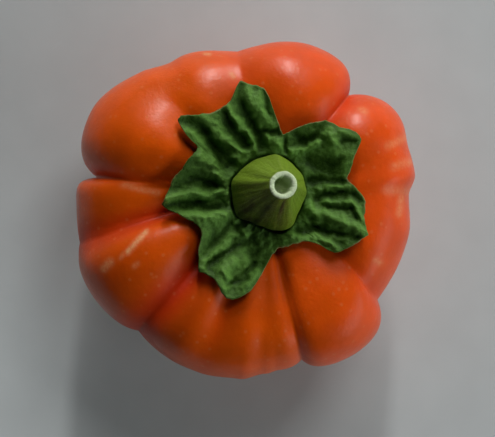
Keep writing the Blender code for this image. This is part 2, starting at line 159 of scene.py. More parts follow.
# Folds of the calyx: height in millimetres (below the leaf where negative),
# half width, then the points it runs through from the crown
FOLDS = (
    (-0.9, 0.7, (-12.0, 10.5), (-9.6, 9.7), (-8.4, 8.5), (-7.8, 7.0), (-6.6, 5.4), (-5.9, 4.3)),
    (0.8, 1.05, (-9.8, 10.6), (-8.0, 9.8), (-7.0, 8.4), (-6.2, 7.6)),
    (0.5, 0.7, (-11.2, 9.2), (-10.0, 8.2), (-9.3, 7.2)),
    (0.6, 1.0, (-9.2, 5.4), (-8.0, 4.9), (-7.3, 4.6)),
    (-1.0, 0.75, (-6.0, 11.2), (-5.3, 10.0), (-4.6, 9.0), (-3.7, 7.9), (-3.1, 7.2)),
    (0.8, 0.8, (-5.1, 7.7), (-4.0, 6.6), (-3.4, 5.8)),
    (0.5, 0.6, (-4.4, 5.3), (-3.8, 4.8)),
    (1.1, 0.55, (-5.4, 12.2), (-4.3, 10.8), (-3.3, 9.6), (-2.3, 8.7), (-1.6, 7.5), (-1.3, 6.4)),
    (-1.0, 0.65, (-3.4, 12.6), (-2.8, 11.2), (-2.2, 10.0), (-1.6, 9.1), (-1.1, 8.2), (-0.8, 6.6)),
    (-0.5, 0.45, (-3.5, 15.6), (-3.9, 14.4), (-3.9, 13.2)),
    (1.0, 1.1, (-2.5, 14.8), (-1.8, 13.4), (-1.1, 12.0), (-0.6, 11.0)),
    (-0.4, 0.5, (-0.4, 14.8), (0.0, 13.2), (0.2, 11.8)),
    (0.5, 0.5, (-0.9, 9.9), (0.2, 9.9), (1.0, 9.7)),
    (0.6, 0.75, (0.3, 8.2), (1.2, 7.6), (1.6, 6.8)),
    (-0.6, 0.45, (-0.2, 9.1), (0.6, 9.0), (1.6, 8.6)),
    (-0.8, 0.55, (-13.2, 1.1), (-11.6, 1.8), (-10.4, 2.1), (-8.9, 1.6), (-7.4, 1.4)),
    (1.0, 0.6, (-14.3, -0.8), (-12.4, -0.2), (-10.6, 0.2), (-9.2, -0.2), (-7.8, -0.2),
     (-6.6, 0.4)),
    (0.6, 0.5, (-7.4, 2.8), (-6.2, 2.1), (-5.6, 1.0), (-5.5, -0.8)),
    (-0.9, 0.5, (-14.4, -1.6), (-12.2, -1.6), (-10.4, -1.7), (-8.6, -1.5), (-7.2, -1.8),
     (-5.8, -2.0)),
    (0.9, 0.75, (-11.9, -2.9), (-10.2, -2.9), (-8.8, -3.4), (-7.2, -3.1), (-5.9, -2.9)),
    (-0.5, 0.4, (-5.2, -4.3), (-6.0, -5.2), (-6.9, -6.5)),
    (0.6, 0.6, (-4.4, -4.2), (-3.4, -5.2), (-2.6, -5.9)),
    (0.9, 0.55, (-4.7, -5.8), (-5.9, -6.9), (-7.5, -8.5), (-8.7, -9.7), (-9.2, -10.6)),
    (-0.5, 0.45, (-7.6, -4.9), (-7.3, -6.2), (-8.2, -7.6)),
    (-0.9, 0.55, (-2.9, -6.9), (-4.2, -7.5), (-5.2, -8.2), (-6.4, -8.9), (-7.5, -9.6),
     (-8.4, -10.6)),
    (1.0, 1.2, (-3.3, -9.2), (-4.4, -9.9), (-5.2, -10.6)),
    (0.4, 0.45, (-2.9, -6.9), (-2.5, -7.2)),
    (-0.5, 0.6, (-1.8, -6.4), (-1.5, -8.0), (-1.8, -9.6)),
    (0.5, 0.5, (-6.4, -11.0), (-5.4, -12.0)),
    (0.5, 0.45, (-6.5, -12.5), (-5.6, -13.6)),
    (0.7, 0.5, (-1.3, -11.2), (-2.2, -12.3), (-3.2, -13.4)),
    (-0.6, 0.4, (-4.9, -12.8), (-3.4, -12.2), (-2.2, -10.9), (-1.4, -10.0)),
    (0.9, 0.85, (6.3, -1.9), (7.6, -2.9), (9.6, -3.5), (11.4, -4.1), (12.9, -5.0), (14.0, -5.6)),
    (0.7, 0.4, (8.4, -1.1), (10.4, -1.0), (12.0, -1.1), (12.9, -2.1), (13.6, -3.6)),
    (-0.5, 0.35, (8.9, -1.9), (10.4, -2.2), (12.0, -2.3), (12.8, -3.3)),
    (-1.0, 0.5, (4.6, -5.2), (6.5, -5.2), (8.4, -5.2), (9.9, -5.6), (11.5, -6.0), (13.0, -6.1)),
    (0.8, 0.65, (4.0, -5.9), (6.0, -6.3), (7.8, -6.3), (9.2, -7.0), (10.1, -7.8)),
    (-0.4, 0.4, (8.8, -6.3), (10.0, -7.0), (11.0, -7.3)),
    (-1.1, 0.55, (6.4, 2.0), (8.0, 1.8), (9.6, 1.9), (11.5, 1.9)),
    (0.5, 0.5, (7.6, 0.9), (9.4, 1.0), (11.6, 1.0)),
    (-0.7, 0.45, (7.4, -0.6), (8.8, -0.3), (10.6, 0.1), (12.4, 0.0), (13.2, -0.8)),
    (-0.9, 0.6, (4.2, 8.6), (5.2, 7.7), (6.2, 7.4)),
    (-0.6, 0.5, (6.6, 8.2), (7.5, 8.9), (8.0, 9.6)),
    (0.9, 0.85, (8.6, 8.9), (9.3, 8.1), (9.8, 7.4)),
    (0.8, 0.55, (3.7, 6.1), (4.9, 6.4), (6.2, 6.6), (7.4, 7.2)),
    (0.5, 0.5, (10.6, 8.9), (12.2, 8.6), (13.0, 8.0)),
    (-0.6, 0.4, (11.0, 7.6), (12.0, 7.7), (12.9, 7.5)),
    (-0.8, 1.1, (6.4, 4.9), (7.8, 4.2), (9.6, 4.0)),
    (0.5, 0.6, (12.4, 5.4), (11.8, 4.0), (11.4, 3.0)),
    (-0.8, 0.35, (2.7, 8.0), (2.8, 7.0), (3.0, 6.2)),
    (0.4, 0.7, (9.8, 6.0), (11.2, 5.6)),
)

# Dry pale scuffs on the fruit: strength, half width, then the points it runs
# through, x and y from the crown in millimetres
SCUFFS = (
    (0.80, 0.38, (-17.2, -5.4), (-18.6, -6.9), (-19.8, -8.3)),
    (0.35, 0.30, (-20.4, -8.6), (-20.9, -9.2)),
    (0.55, 0.55, (-22.4, -9.8), (-23.4, -10.8)),
    (0.30, 0.35, (-18.4, -10.0), (-18.9, -10.4)),
    (0.55, 0.30, (-8.8, 20.6), (-8.2, 20.5)),
    (0.45, 0.40, (-4.9, 17.4), (-4.6, 17.0)),
    (0.40, 0.50, (14.0, 12.2), (14.4, 12.0)),
    (0.35, 0.55, (19.8, -0.6), (19.4, -2.8)),
    (0.35, 0.50, (16.0, -9.6), (16.6, -9.9)),
    (0.35, 0.45, (-20.5, 1.4), (-17.5, 0.6), (-15.6, 0.2)),
    (0.30, 0.60, (18.6, 4.0), (21.2, 4.8)),
    (0.30, 0.60, (17.8, 7.0), (20.6, 8.4)),
    (0.25, 0.70, (17.6, 0.6), (21.4, 0.4)),
)


# Rings of the stem: radius share from foot to cut, height share and extra
# radius in millimetres
STEM_RINGS = (
    (0.00, 0.000, -0.45),
    (0.02, 0.035, -0.08),
    (0.05, 0.090, 0.20),
    (0.14, 0.180, 0.38),
    (0.30, 0.330, 0.42),
    (0.50, 0.500, 0.28),
    (0.70, 0.660, 0.10),
    (0.87, 0.800, 0.02),
    (0.96, 0.900, 0.04),
    (1.00, 0.965, 0.05),
    (1.00, 0.995, 0.00),
)

# Outline of the stem's foot, x and y from the crown in millimetres
STEM_FOOT = (
    (5.6, 0.6), (5.2, 2.3), (4.2, 3.9), (2.8, 5.2), (0.8, 5.4), (-1.6, 5.0),
    (-3.2, 3.7), (-4.8, 2.1), (-5.0, 0.2), (-4.8, -1.8), (-4.2, -3.1), (-2.2, -4.0),
    (-0.4, -4.7), (1.4, -5.4), (2.4, -5.5), (3.6, -4.6), (4.5, -3.0), (5.2, -1.4),
)

# Middle and mean radius of the stem's foot in millimetres
STEM_X = 0.35
STEM_Y = 0.2
STEM_FOOT_RADIUS = 5.35

# Ribs of the stem: height as a share of the radius, number round, start
STEM_RIBS = ((0.045, 5.0, -0.9), (0.03, 8.0, 1.2), (0.02, 13.0, 0.4))

# Side of the stem that is bruised and darkened with painted shade, and its scar strip: direction
# and half width in degrees
BRUISE_AND_SHADE = (-127.0, 42.0)
STRIP = (-78.0, 10.0)

# Leaf in millimetres: clearance over the skin and thickness
LEAF_CLEARANCE = 0.4
LEAF_THICKNESS = 0.8

# Edge of the leaf in millimetres: jags, frays, bevel, lift and dry rim
LEAF_JAG = 0.20
LEAF_FRAY = 0.10
LEAF_BEVEL = 0.16
LEAF_LIFT = 0.5
LEAF_RIM = 0.34

# Leaf between its folds in millimetres: padding over its thickness, the most
# that a crease sinks, and the least thickness left
LEAF_PADDING = 0.12
CREASE_LIMIT = 0.85
LEAF_LEAST = 0.15

# Seat of the stem in the leaf: width of its wall, height of the collar, and
# the collar's distance from the stem and half width, in millimetres
SEAT_WALL = 0.32
COLLAR_HEIGHT = 0.20
COLLAR_GAP = 0.7
COLLAR_WIDTH = 1.1

# Colour of dry scuffs and specks on the skin
DRY_SKIN = (0.80, 0.44, 0.20)

# Lamps: name, direction and height in degrees, width and height in metres,
# whether the window or the room feeds it, power as a share of that, colour,
# share of it seen in highlights
WARM_WHITE = (1.0, 0.99, 0.98)
LAMPS = (
    ("window", 86.0, 23.0, 0.080, 0.70, "window", 1.0, WARM_WHITE, 1.0),
    ("window_glow", 60.0, 50.0, 0.4, 0.4, "room", 1.25, WARM_WHITE, 0.15),
    ("wall_behind", 66.0, 20.0, 1.0, 0.6, "room", 1.15, WARM_WHITE, 0.3),
    ("wall_right", -26.0, 20.0, 1.2, 0.5, "room", 2.52, (0.94, 1.0, 1.0), 0.40),
    ("wall_left", 150.0, 18.0, 0.9, 0.5, "room", 0.26, (1.0, 1.0, 0.95), 0.0),
)
# Distance of the lamps from the fruit and height of the point they face, in
# metres, and the place of the camera beside the middle
LAMP_DISTANCE = 1.2
LAMP_AIM = 0.02
CAMERA_X = 0.0003
CAMERA_Y = -0.0012


class ChilliFruitSettings(bpy.types.PropertyGroup):
    """Sizes and colours of the fruit."""

    crown_x: bpy.props.FloatProperty(
        name="Crown X", description="Sideways place of the crown", default=0.0029, unit="LENGTH"
    )
    crown_y: bpy.props.FloatProperty(
        name="Crown Y", description="Fore and aft place of the crown",
        default=0.0023, unit="LENGTH",
    )
    belly: bpy.props.FloatProperty(
        name="Belly height", description="Height of the widest part above the table",
        default=0.0205, unit="LENGTH",
    )
    shoulder: bpy.props.FloatProperty(
        name="Shoulder rise", description="Rise of the shoulder above the belly",
        default=0.0142, unit="LENGTH",
    )
    foot: bpy.props.FloatProperty(
        name="Foot drop", description="Drop of the lobes below the belly",
        default=0.0226, unit="LENGTH",
    )
    basin: bpy.props.FloatProperty(
        name="Crown basin", description="Depth of the hollow the stem stands in",
        default=0.0052, unit="LENGTH",
    )
    basin_share: bpy.props.FloatProperty(
        name="Basin width", description="Width of the crown hollow as a share of the reach",
        default=0.55, subtype="FACTOR",
    )
    power: bpy.props.FloatProperty(
        name="Shoulder fullness", description="Squareness of the shoulder, 2 for a round one",
        default=2.8,
    )
    segments: bpy.props.IntProperty(
        name="Segments", description="Columns of the round start", default=104, min=16
    )
    rings: bpy.props.IntProperty(
        name="Rings", description="Rings of the round start", default=44, min=8
    )
    ripe: bpy.props.FloatVectorProperty(
        name="Ripe skin", description="Colour of the yellower side",
        default=(0.76, 0.096, 0.0004), subtype="COLOR", size=3,
    )
    blush: bpy.props.FloatVectorProperty(
        name="Blushed skin", description="Colour of the redder side",
        default=(0.74, 0.074, 0.0030), subtype="COLOR", size=3,
    )
    # Painted shade: a darker, deeper red mixed in down the grooves, the more the deeper the groove
    groove: bpy.props.FloatVectorProperty(
        name="Groove skin", description="Colour down in the grooves",
        default=(0.60, 0.020, 0.0005), subtype="COLOR", size=3,
    )
    # Painted shade: the darker colour laid on a patch at the left front of the skin
    shaded: bpy.props.FloatVectorProperty(
        name="Shaded skin", description="Colour of the ripest, darkest patch of skin",
        default=(0.40, 0.040, 0.0006), subtype="COLOR", size=3,
    )


class ChilliCalyxSettings(bpy.types.PropertyGroup):
    """Sizes and colours of the calyx."""

    gap: bpy.props.FloatProperty(
        name="Gap", description="Clearance over the skin",
        default=LEAF_CLEARANCE * MM, unit="LENGTH",
    )
    thickness: bpy.props.FloatProperty(
        name="Thickness", description="Thickness of the leaf",
        default=LEAF_THICKNESS * MM, unit="LENGTH",
    )
    fold: bpy.props.FloatProperty(
        name="Fold depth", description="Share of the listed fold heights",
        default=1.0, subtype="FACTOR",
    )
    pucker: bpy.props.FloatProperty(
        name="Pucker", description="Height of the small wrinkles between the folds",
        default=0.00022, unit="LENGTH",
    )
    segments: bpy.props.IntProperty(
        name="Segments", description="Columns of the round start", default=120, min=16
    )
    rings: bpy.props.IntProperty(
        name="Rings", description="Rings of the two faces together", default=40, min=8
    )
    # Painted shade and light: the leaf is coloured darker in its creases and lighter on its folds
    crease_shade: bpy.props.FloatVectorProperty(
        name="Sunk leaf", description="Colour in the creases",
        default=(0.014, 0.040, 0.003), subtype="COLOR", size=3,
    )
    light: bpy.props.FloatVectorProperty(
        name="Raised leaf", description="Colour on the folds",
        default=(0.106, 0.236, 0.040), subtype="COLOR", size=3,
    )
    rim: bpy.props.FloatVectorProperty(
        name="Dry rim", description="Colour of the dry edge",
        default=(0.30, 0.24, 0.12), subtype="COLOR", size=3,
    )


class ChilliStemSettings(bpy.types.PropertyGroup):
    """Sizes and colours of the stem."""

    height: bpy.props.FloatProperty(
        name="Height", description="Height of the stem above its seat",
        default=0.0094, unit="LENGTH",
    )
    clearance: bpy.props.FloatProperty(
        name="Clearance", description="Gap between the stem and its seat",
        default=0.00035, unit="LENGTH",
    )
    top_radius: bpy.props.FloatProperty(
        name="Cut radius", description="Radius of the cut end", default=0.00192, unit="LENGTH"
    )
    hollow_radius: bpy.props.FloatProperty(
        name="Hollow radius", description="Radius of the hollow in the cut end",
        default=0.00122, unit="LENGTH",
    )
    hollow_depth: bpy.props.FloatProperty(
        name="Hollow depth", description="Depth of the hollow in the cut end",
        default=0.0022, unit="LENGTH",
    )
    lean_x: bpy.props.FloatProperty(
        name="Lean X", description="Sideways lean of the cut end", default=0.0021, unit="LENGTH"
    )
    lean_y: bpy.props.FloatProperty(
        name="Lean Y", description="Fore and aft lean of the cut end",
        default=0.0010, unit="LENGTH",
    )
    green: bpy.props.FloatVectorProperty(
        name="Fresh green", description="Colour of the fresh side",
        default=(0.165, 0.265, 0.018), subtype="COLOR", size=3,
    )
    # Partly real bruising, partly painted shade on the side turned from the light
    shaded_bruise: bpy.props.FloatVectorProperty(
        name="Shadowed green", description="Colour of the bruised side",
        default=(0.022, 0.021, 0.006), subtype="COLOR", size=3,
    )
    cut: bpy.props.FloatVectorProperty(
        name="Cut end", description="Colour of the cut end",
        default=(0.60, 0.72, 0.46), subtype="COLOR", size=3,
    )


class ChilliStageSettings(bpy.types.PropertyGroup):
    """Floor, lights and camera."""

    floor_size: bpy.props.FloatProperty(
        name="Floor size", description="Side of the floor", default=3.0, unit="LENGTH"
    )
    floor_colour: bpy.props.FloatVectorProperty(
        name="Floor", description="Colour of the floor",
        default=(0.535, 0.575, 0.58), subtype="COLOR", size=3,
    )
    camera_height: bpy.props.FloatProperty(
        name="Camera height", description="Height of the camera above the floor",
        default=0.3205, unit="LENGTH",
    )
    lens: bpy.props.FloatProperty(
        name="Lens", description="Focal length of the camera in millimetres", default=146.1
    )
    key_power: bpy.props.FloatProperty(
        name="Window light", description="Power of the low window light in watts", default=8.0
    )
    fill_power: bpy.props.FloatProperty(
        name="Room glow", description="Power of the soft light from the sides in watts",
        default=3.1,
    )
    sky: bpy.props.FloatProperty(
        name="Room light", description="Strength of the light from all round", default=0.007
    )


def clear_selection():
    """Leave nothing selected, so an operator acts on the new piece alone."""
    for thing in list(bpy.context.selected_objects):
        thing.select_set(False)


def lobe_field(angles, out):
    """Reach, shoulder height and nearness to a groove for many directions."""
    reach, height, near = crisp_lobes(angles, out)
    for aside in (-GROOVE_ROUNDING, GROOVE_ROUNDING):
        _, beside, close = crisp_lobes(angles + aside, out)
        height = height + 0.5 * beside
        near = near + 0.5 * close
    return reach, 0.5 * height, 0.5 * near


def crisp_lobes(angles, out):
    """The lobes before their grooves are rounded."""
    reach = np.zeros_like(angles)
    height = np.zeros_like(angles)
    near = np.zeros_like(angles)
    for place, (crest, lobe_reach, lobe_height) in enumerate(LOBES):
        before = GROOVES[place - 1]
        after = GROOVES[place]
        turn = turn_apart(angles, crest)
        low = turn_apart(before.inner + (before.outer - before.inner) * out, crest)
        high = turn_apart(after.inner + (after.outer - after.inner) * out, crest)
        left = (turn < 0.0) & (turn >= low)
        right = (turn >= 0.0) & (turn <= high)
        for groove, edge, outline, shoulder, inside in (
            (before, low, before.outline_after, before.shoulder_after, left),
            (after, high, after.outline_before, after.shoulder_before, right),
        ):
            way = held(turn / edge)
            drop = groove.inner_drop + (groove.outer_drop - groove.inner_drop) * out
            softness = groove.inner_softness + (groove.outer_softness - groove.inner_softness) * out
            soft = np.sin(0.5 * np.pi * way) ** 2
            crisp = way ** outline
            fall = crisp + (soft - crisp) * softness
            reach = np.where(inside, lobe_reach + (groove.reach - lobe_reach) * fall, reach)
            crisp = way ** shoulder
            fall = crisp + (soft - crisp) * softness
            height = np.where(inside, lobe_height + (-drop - lobe_height) * fall, height)
            near = np.where(inside, fall * held(drop / FULL_DROP), near)
    return reach, height, near


def bell(value, width, power=2):
    """A smooth hill: 1 in the middle, about a third at its half width."""
    return np.exp(-((value / width) ** power))


def held(values):
    """Values held between 0 and 1."""
    return np.clip(values, 0.0, 1.0)


def turn_apart(angles, other):
    """Signed turn in degrees from one direction to another."""
    return (angles - other + 180.0) % 360.0 - 180.0


def column_directions(angles, out, segments):
    """Spread the columns of points so that one runs along every groove."""
    step = 360.0 / segments
    columns = [round(0.5 * (groove.inner + groove.outer) / step) * step for groove in GROOVES]
    columns = np.array([columns[-1] - 360.0] + columns + [columns[0] + 360.0])
    inner = np.array([groove.inner for groove in GROOVES])
    outer = np.array([groove.outer for groove in GROOVES])
    inner = np.concatenate(([inner[-1] - 360.0], inner, [inner[0] + 360.0]))
    outer = np.concatenate(([outer[-1] - 360.0], outer, [outer[0] + 360.0]))
    angles = angles % 360.0
    from_inner = np.interp(angles, columns, inner)
    from_outer = np.interp(angles, columns, outer)
    return from_inner + (from_outer - from_inner) * out


def basin_at(settings, radius, reach, angles):
    """Depth of the crown hollow, wider on one side and narrower on another."""
    wider = 0.0
    for middle, width, change in BASIN_TURNS:
        wider = wider + change * bell(turn_apart(angles, middle), width)
    edge = (settings.basin_share + wider) * reach
    return settings.basin / MM * bell(radius, edge, BASIN_POWER)


def groove_run(radius):
    """Share of the way from the calyx to the side that a distance is at."""
    return held((radius - RUN_START) / RUN_LENGTH)


def lobe_growth(radius):
    """Share of their height that the lobes have at a distance from the crown."""
    return 1.0 - bell(radius, CROWN_EASE, 3)


def skin_level(settings, radius, angles, groove_share):
    """Height of the upper skin at a distance from the crown, millimetres."""
    reach, height, _ = lobe_field(angles, groove_run(radius))
    height = height * lobe_growth(radius)
    height = np.where(height < 0.0, height * groove_share, height)
    level = np.minimum(0.999, radius / reach)
    bow = (1.0 - level ** settings.power) ** (1.0 / settings.power)
    rise = (settings.shoulder / MM + height) * bow
    return settings.belly / MM + rise - basin_at(settings, radius, reach, angles)


def crown_level(settings):
    """Height of the skin at the crown itself, millimetres."""
    return skin_level(settings, np.zeros(1), np.zeros(1), DROP_UNDER_LEAF)[0]


def mesh_points(piece):
    """Points of a mesh as an array."""
    points = np.empty(len(piece.data.vertices) * 3)
    piece.data.vertices.foreach_get("co", points)
    return points.reshape(-1, 3)


def set_points(piece, points):
    """Put an array of points back into a mesh."""
    piece.data.vertices.foreach_set("co", points.astype(np.float32).ravel())
    piece.data.update()


def keep_values(piece, name, values):
    """Keep one number for each point, for the material to read."""
    layer = piece.data.attributes.new(name, "FLOAT", "POINT")
    layer.data.foreach_set("value", held(values).astype(np.float32))


def run_distance(x, y, points):
    """Distance from places on a plane to a line through several points."""
    best = np.full_like(x, 1e9)
    for (x0, y0), (x1, y1) in zip(points[:-1], points[1:]):
        run_x = x1 - x0
        run_y = y1 - y0
        along = held(((x - x0) * run_x + (y - y0) * run_y) / (run_x ** 2 + run_y ** 2))
        best = np.minimum(best, np.hypot(x - x0 - along * run_x, y - y0 - along * run_y))
    return best


def rough_noise(points, size, seed):
    """Smooth noise between about -1 and 1 at every point, size in millimetres."""
    shift = Vector((seed * 13.1, seed * 7.7, seed * 3.3))
    return np.array([noise.noise(Vector(point) / size + shift) for point in points])


def apply_modifier(piece, kind, name, **values):
    """Add one modifier and apply it."""
    bpy.context.view_layer.objects.active = piece
    change = piece.modifiers.new(name, kind)
    for key, value in values.items():
        setattr(change, key, value)
    bpy.ops.object.modifier_apply(modifier=change.name)


def finish_piece(piece, name, finish, node):
    """Name a finished piece and let it stand for its node of the frame."""
    piece.name = name
    piece.data.name = name
    piece.data.materials.clear()
    piece.data.materials.append(finish)
    clear_selection()
    piece.select_set(True)
    bpy.context.view_layer.objects.active = piece
    bpy.ops.object.shade_smooth()
    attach(piece, "root")
    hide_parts(node)
    clear_selection()


def round_start(segments, rings):
    """A round start, and the direction, flatness and tilt of its points."""
    clear_selection()
    bpy.ops.mesh.primitive_uv_sphere_add(segments=segments, ring_count=rings, radius=1.0)
    piece = bpy.context.active_object
    bpy.ops.object.mode_set(mode="EDIT")
    bpy.ops.mesh.select_all(action="SELECT")
    bpy.ops.mesh.subdivide(number_cuts=3)
    bpy.ops.object.mode_set(mode="OBJECT")
    points = mesh_points(piece)
    points = points / np.linalg.norm(points, axis=1)[:, None]
    flat = np.hypot(points[:, 0], points[:, 1])
    angles = np.where(flat > 1e-5, np.degrees(np.arctan2(points[:, 1], points[:, 0])), 0.0)
    flat = np.where(flat > 1e-5, flat, 0.0)
    tilt = np.arcsin(np.clip(points[:, 2], -1.0, 1.0))
    return piece, angles, flat, tilt


def shape_fruit(settings):
    """Push a round start out to the lobes and in at the grooves."""
    piece, angles, flat, tilt = round_start(settings.segments, settings.rings)
    upper = tilt >= 0.0
    power = np.where(upper, settings.power, 2.0)
    cosine = flat ** (2.0 / power)
    sine = np.abs(np.sin(tilt)) ** (2.0 / power)
    out = np.where(tilt > 0.0, groove_run(cosine * MEAN_REACH), 1.0)
    angles = column_directions(angles, out, settings.segments)
    reach, height, near = lobe_field(angles, out)
    ease = np.where(upper, 0.0, sine ** 2)
    reach = reach + (FOOT_REACH - reach) * FOOT_ROUNDING * ease
    height = height * (1.0 - FOOT_FLATTENING * ease)
    radius = reach * cosine
    turn = np.radians(angles)
    swell = 0.0
    for rise, round_waves, upward, start in SWELLS:
        swell = swell + rise * np.sin(round_waves * turn + upward * tilt + start)
    swell = swell * np.sin(2.0 * tilt) ** 2
    height = height * lobe_growth(radius)
    top = settings.belly / MM + (settings.shoulder / MM + height) * sine
    top = top - basin_at(settings, radius, reach, angles)
    dimple = DIMPLE_HEIGHT * bell(radius, DIMPLE_RADIUS)
    low = settings.belly / MM - (settings.foot / MM + FOOT_LOBES * height) * sine + dimple
    level = np.maximum(0.0, np.where(upper, top, low))
    radius = radius + swell * cosine
    crown_x = settings.crown_x / MM
    crown_y = settings.crown_y / MM
    points = np.stack(
        (
            crown_x - FOOT_SHIFT_X * ease + radius * np.cos(turn),
            crown_y - FOOT_SHIFT_Y * ease + radius * np.sin(turn),
            level,
        ),
        axis=1,
    )
    dents = 0.0
    for size, seed, depth in DENTS:
        dents = dents + rough_noise(points, size, seed) * depth
    # The feet stay flat, so the dents only begin a little above the table
    dents = dents * held((level - 1.0) / 4.0)
    outward = points - np.array((crown_x, crown_y, settings.belly / MM))
    outward = outward / np.maximum(1e-6, np.linalg.norm(outward, axis=1))[:, None]
    points = points + outward * dents[:, None]
    set_points(piece, points * MM)
    keep_values(piece, "groove_depth", near)
    x = points[:, 0] - crown_x
    y = points[:, 1] - crown_y
    # Redder to the right and back; a patch at the left front is darkened with painted shade
    keep_values(piece, "blush", 0.5 + 0.5 * np.tanh((x + 0.35 * y - 2.0) / 9.0))
    keep_values(piece, "shaded", bell(x + 12.0, 11.0) * bell(y + 15.0, 8.0))
    scuff = np.zeros_like(x)
    for strength, width, *run in SCUFFS:
        gap = run_distance(x, y, run)
        scuff = np.maximum(scuff, strength * bell(gap, width) * upper)
    keep_values(piece, "scuff", scuff)
    return piece


def outline_reach(outline, angles, middle_x=0.0, middle_y=0.0):
    """Distance of a closed outline from its middle in many directions."""
    edge = []
    for x, y in outline:
        across = x - middle_x
        along = y - middle_y
        turn = math.degrees(math.atan2(along, across)) % 360.0
        edge.append((turn, math.hypot(across, along)))
    edge.sort()
    directions = [point[0] for point in edge]
    reaches = [point[1] for point in edge]
    return np.interp(angles % 360.0, directions, reaches, period=360.0)


def stem_foot_reach(turn):
    """Distance of the stem's foot outline from its middle."""
    return outline_reach(STEM_FOOT, np.degrees(turn), STEM_X, STEM_Y)


def foot_gap(x, y):
    """Distance outside the stem's foot, negative under it, in millimetres."""
    turn = np.arctan2(y - STEM_Y, x - STEM_X)
    return np.hypot(x - STEM_X, y - STEM_Y) - stem_foot_reach(turn)


def edge_noise(turn, size, seed):
    """Noise round an edge, without a seam where the turn is full."""
    return np.array(
        [noise.noise(Vector((math.cos(a) * size, math.sin(a) * size, seed))) for a in turn]
    )


def leaf_relief(x, y, settings):
    """Folds and small wrinkles of the leaf, in millimetres."""
    places = np.stack((x, y, np.zeros_like(x)), axis=1)
    # The folds wander, so that their listed runs don't look drawn
    bent_x = x + 0.42 * rough_noise(places, 1.7, 11.0) + 0.16 * rough_noise(places, 0.7, 12.0)
    bent_y = y + 0.42 * rough_noise(places, 1.7, 13.0) + 0.16 * rough_noise(places, 0.7, 14.0)
    swing = 1.0 + 0.5 * rough_noise(places, 1.5, 15.0)
    folds = np.zeros_like(x)
    for height, width, *run in FOLDS:
        gap = run_distance(bent_x, bent_y, run)
        folds = folds + height * bell(gap, width)
    folds = folds * settings.fold * swing
    blisters = 0.5 - np.abs(rough_noise(places, 1.35, 2.0)) * 1.6
    pucker = 1.1 * blisters + 0.75 * rough_noise(places, 0.75, 7.0)
    pucker = pucker + 0.35 * rough_noise(places, 0.38, 8.0)
    return folds + pucker * settings.pucker / MM


def shape_calyx(fruit, settings):
    """Draw a round start out to the star and fold it over the shoulder."""
    piece, angles, flat, tilt = round_start(settings.segments, settings.rings)
    inward = np.abs(tilt) / (0.5 * math.pi)
    first = 1.0 / (2.0 * settings.rings)
    outer = inward < 0.3 * first
    turn = np.radians(angles)
    jag = edge_noise(turn, 9.0, 4.0)
    fray = edge_noise(turn, 30.0, 9.0)
    edge = outline_reach(CALYX_EDGE, angles) + LEAF_JAG * jag + LEAF_FRAY * fray
    radius = (edge - LEAF_BEVEL) * held(1.0 - (inward - first) / (1.0 - first))
    radius = np.where(outer, edge, radius)
    x = radius * np.cos(turn)
    y = radius * np.sin(turn)
    near_edge = held(radius / edge)
    under = skin_level(fruit, radius, angles, DROP_UNDER_LEAF) + settings.gap / MM
    under = under + LEAF_LIFT * near_edge ** 6
    relief = leaf_relief(x, y, settings)
    # Creases level off before they reach the skin
    lift = np.where(relief < 0.0, -CREASE_LIMIT * (1.0 - np.exp(relief / CREASE_LIMIT)), relief)
    lift = lift * (1.0 - 0.45 * near_edge ** 10)
    top = under + settings.thickness / MM + LEAF_PADDING + lift
    gap = foot_gap(x, y)
    wall = held((gap - 0.02) / SEAT_WALL)
    wall = wall * wall * (3.0 - 2.0 * wall)
    floor = crown_level(fruit) + (settings.gap + settings.thickness) / MM
    collar = COLLAR_HEIGHT * bell(gap - COLLAR_GAP, COLLAR_WIDTH)
    top = floor + (np.maximum(top + collar, floor) - floor) * wall
    top = np.maximum(top, under + LEAF_LEAST)
    level = np.where(tilt > 0.0, top, under)
    level = np.where(outer, under + 0.45 * settings.thickness / MM, level)
    points = np.stack((x + fruit.crown_x / MM, y + fruit.crown_y / MM, level), axis=1)
    set_points(piece, points * MM)
    # Painted shade and light for the leaf colour: lighter on the raised folds, darker in the
    # creases and down in the seat round the stem
    keep_values(piece, "raised", (0.5 + 0.55 * lift) * wall)
    keep_values(piece, "rim", held((radius - edge + LEAF_RIM) / LEAF_RIM))
    return piece


def ring_up(height, scale):
    """Extrude the open ring upward and draw it in or out."""
    bpy.ops.mesh.extrude_region_move(TRANSFORM_OT_translate={"value": (0.0, 0.0, height)})
    bpy.ops.transform.resize(value=(scale, scale, 1.0))


def draw_stem(rings):
    """Extrude one ring through all radii and heights and close both ends."""
    clear_selection()
    bpy.ops.mesh.primitive_circle_add(vertices=72, radius=1.0, fill_type="NOTHING")
    bpy.ops.object.mode_set(mode="EDIT")
    bpy.ops.mesh.select_all(action="SELECT")
    first_radius = rings[0][0]
    last_radius = 1.0
    last_height = 0.0
    for radius, height in rings[1:]:
        ring_up(height - last_height, radius / first_radius / last_radius)
        last_radius = radius / first_radius
        last_height = height
    bpy.ops.mesh.edge_face_add()
    bpy.ops.mesh.inset(thickness=0.08)
    bpy.ops.mesh.poke()
    bpy.ops.mesh.select_all(action="DESELECT")
    bpy.ops.mesh.select_non_manifold()
    bpy.ops.mesh.edge_face_add()
    bpy.ops.mesh.inset(thickness=0.25)
    bpy.ops.mesh.poke()
    bpy.ops.mesh.select_all(action="SELECT")
    bpy.ops.mesh.normals_make_consistent(inside=False)
    bpy.ops.object.mode_set(mode="OBJECT")
    return bpy.context.active_object


